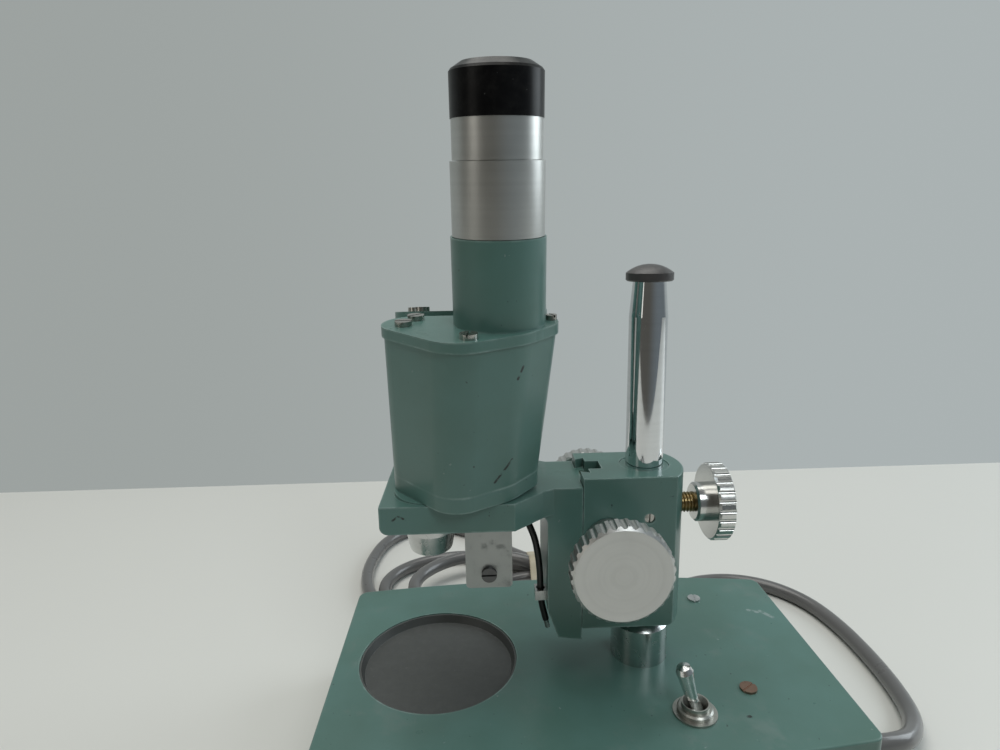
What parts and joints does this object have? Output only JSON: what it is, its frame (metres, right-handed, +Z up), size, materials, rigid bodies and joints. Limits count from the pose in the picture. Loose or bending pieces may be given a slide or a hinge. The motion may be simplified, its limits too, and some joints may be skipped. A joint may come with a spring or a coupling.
{
  "type": "stereo microscope",
  "caption": "Pillar-stand stereo microscope with twin tilted prism bodies, rack focusing arm, stage lamp bracket and a low base that holds the lamp transformer.",
  "frame": {"origin": "centre of the base footprint on the surface that the feet stand on", "axes": "+Z up, +X from the stage towards the pillar, +Y towards the far microscope body"},
  "size_m": [0.2751, 0.2705, 0.264],
  "materials": {
    "green_enamel": "semi-gloss grey-green enamel on cast metal",
    "chrome_plate": "polished chrome plate",
    "satin_chrome": "satin turned and plated",
    "satin_aluminium": "satin turned aluminium",
    "plain_steel": "plain rolled steel",
    "screw_steel": "plated screws, a little tarnished",
    "worn_nickel": "worn nickel plate",
    "brass_plate": "plain turned brass",
    "core_iron": "varnished laminations",
    "winding_tape": "taped coil",
    "grey_plastic": "matt moulded cap",
    "black_plastic": "satin black eye cap",
    "black_rubber": "moulded feet",
    "grey_rubber": "moulded strain relief",
    "grey_cord": "glossy grey cord sheath",
    "beige_tie": "flat cord tie",
    "black_lead": "thin black lead",
    "dark_stage": "dark grey stage dish",
    "lamp_glass": "small frosted bulb",
    "optical_glass": "coated lenses and prisms"
  },
  "bodies": {
    "base": {"base_shell": "green_enamel", "base_cover": "plain_steel", "base_cover_screws": "screw_steel", "rubber_feet": "black_rubber", "pillar": "chrome_plate", "pillar_collar": "satin_chrome", "pillar_cap": "grey_plastic", "pillar_nut": "screw_steel", "transformer_core": "core_iron", "transformer_winding": "winding_tape", "transformer_screws": "screw_steel", "switch_body": "satin_chrome", "switch_nut": "worn_nickel", "strain_relief": "grey_rubber", "power_cord": "grey_cord", "cord_hank": "grey_cord", "cord_tie": "beige_tie", "plug_body": "grey_cord", "plug_blades": "brass_plate"},
    "stage": {"stage_plate": "dark_stage"},
    "switch_lever": {"switch_lever": "chrome_plate"},
    "pillar_slide": {"pillar_bush": "brass_plate"},
    "focus_block": {"focus_block": "green_enamel", "block_set_screw": "screw_steel", "shaft_bushes": "brass_plate"},
    "clamp": {"clamp_knob": "satin_aluminium", "clamp_screw": "brass_plate"},
    "focus_drive": {"focus_shaft": "plain_steel", "near_focus_knob": "satin_aluminium", "far_focus_knob": "satin_aluminium"},
    "arm": {"arm_casting": "green_enamel", "rack": "brass_plate", "lamp_bracket": "satin_aluminium", "lamp_screws": "screw_steel", "lamp_housing": "satin_chrome", "lamp_bulb": "lamp_glass", "lamp_lead": "black_lead", "lead_clip": "satin_chrome"},
    "near_body": {"near_housing": "green_enamel", "near_flange": "green_enamel", "near_lid": "green_enamel", "near_lid_screws": "satin_chrome", "near_ocular_tube": "green_enamel", "near_optics": "optical_glass", "near_objective": "satin_chrome"},
    "near_dioptre": {"near_dioptre_sleeve": "satin_aluminium"},
    "near_ocular": {"near_eyepiece": "satin_aluminium", "near_eye_cap": "black_plastic", "near_eye_lenses": "optical_glass"},
    "far_body": {"far_housing": "green_enamel", "far_flange": "green_enamel", "far_lid": "green_enamel", "far_lid_screws": "satin_chrome", "far_ocular_tube": "green_enamel", "far_optics": "optical_glass", "far_objective": "satin_chrome"},
    "far_dioptre": {"far_dioptre_sleeve": "satin_aluminium"},
    "far_ocular": {"far_eyepiece": "satin_aluminium", "far_eye_cap": "black_plastic", "far_eye_lenses": "optical_glass"}
  },
  "joints": [
    {"name": "stage_lift", "type": "slide", "parent": "base", "child": "stage", "axis": [0, 0, 1], "range_m": [0, 0.015]},
    {"name": "switch_toggle", "type": "hinge", "parent": "base", "child": "switch_lever", "pos_m": [0.0377, -0.0366, 0.0438], "axis": [0, 1, 0], "range_deg": [0, 32]},
    {"name": "head_height", "type": "slide", "parent": "base", "child": "pillar_slide", "axis": [0, 0, 1], "range_m": [-0.003, 0.055]},
    {"name": "head_swing", "type": "hinge", "parent": "pillar_slide", "child": "focus_block", "pos_m": [0.026, 0, 0.09], "axis": [0, 0, 1], "range_deg": [-45, 45]},
    {"name": "clamp_turn", "type": "hinge", "parent": "focus_block", "child": "clamp", "pos_m": [0.05, 0, 0.1077], "axis": [1, 0, 0], "range_deg": [-180, 180]},
    {"name": "focus_slide", "type": "slide", "parent": "focus_block", "child": "arm", "axis": [0, 0, 1], "range_m": [-0.008, 0.018]},
    {"name": "focus_turn", "type": "hinge", "parent": "focus_block", "child": "focus_drive", "pos_m": [0.0094, 0, 0.0996], "axis": [0, 1, 0], "range_deg": [-96, 215]},
    {"name": "near_eye_distance", "type": "hinge", "parent": "arm", "child": "near_body", "pos_m": [-0.057, -0.0095, 0.087], "axis": [0, -0.1132, 0.9936], "range_deg": [-18, 0]},
    {"name": "near_dioptre_slide", "type": "slide", "parent": "near_body", "child": "near_dioptre", "axis": [0, -0.1132, 0.9936], "range_m": [0, 0.005]},
    {"name": "near_eyepiece_lift", "type": "slide", "parent": "near_dioptre", "child": "near_ocular", "axis": [0, -0.1132, 0.9936], "range_m": [0, 0.025]},
    {"name": "far_eye_distance", "type": "hinge", "parent": "arm", "child": "far_body", "pos_m": [-0.057, 0.0095, 0.087], "axis": [0, 0.1132, 0.9936], "range_deg": [0, 18]},
    {"name": "far_dioptre_slide", "type": "slide", "parent": "far_body", "child": "far_dioptre", "axis": [0, 0.1132, 0.9936], "range_m": [0, 0.005]},
    {"name": "far_eyepiece_lift", "type": "slide", "parent": "far_dioptre", "child": "far_ocular", "axis": [0, 0.1132, 0.9936], "range_m": [0, 0.025]}
  ],
  "couplings": [
    {"joint": "focus_turn", "follows": "focus_slide", "rad_per_m": 208.33}
  ]
}
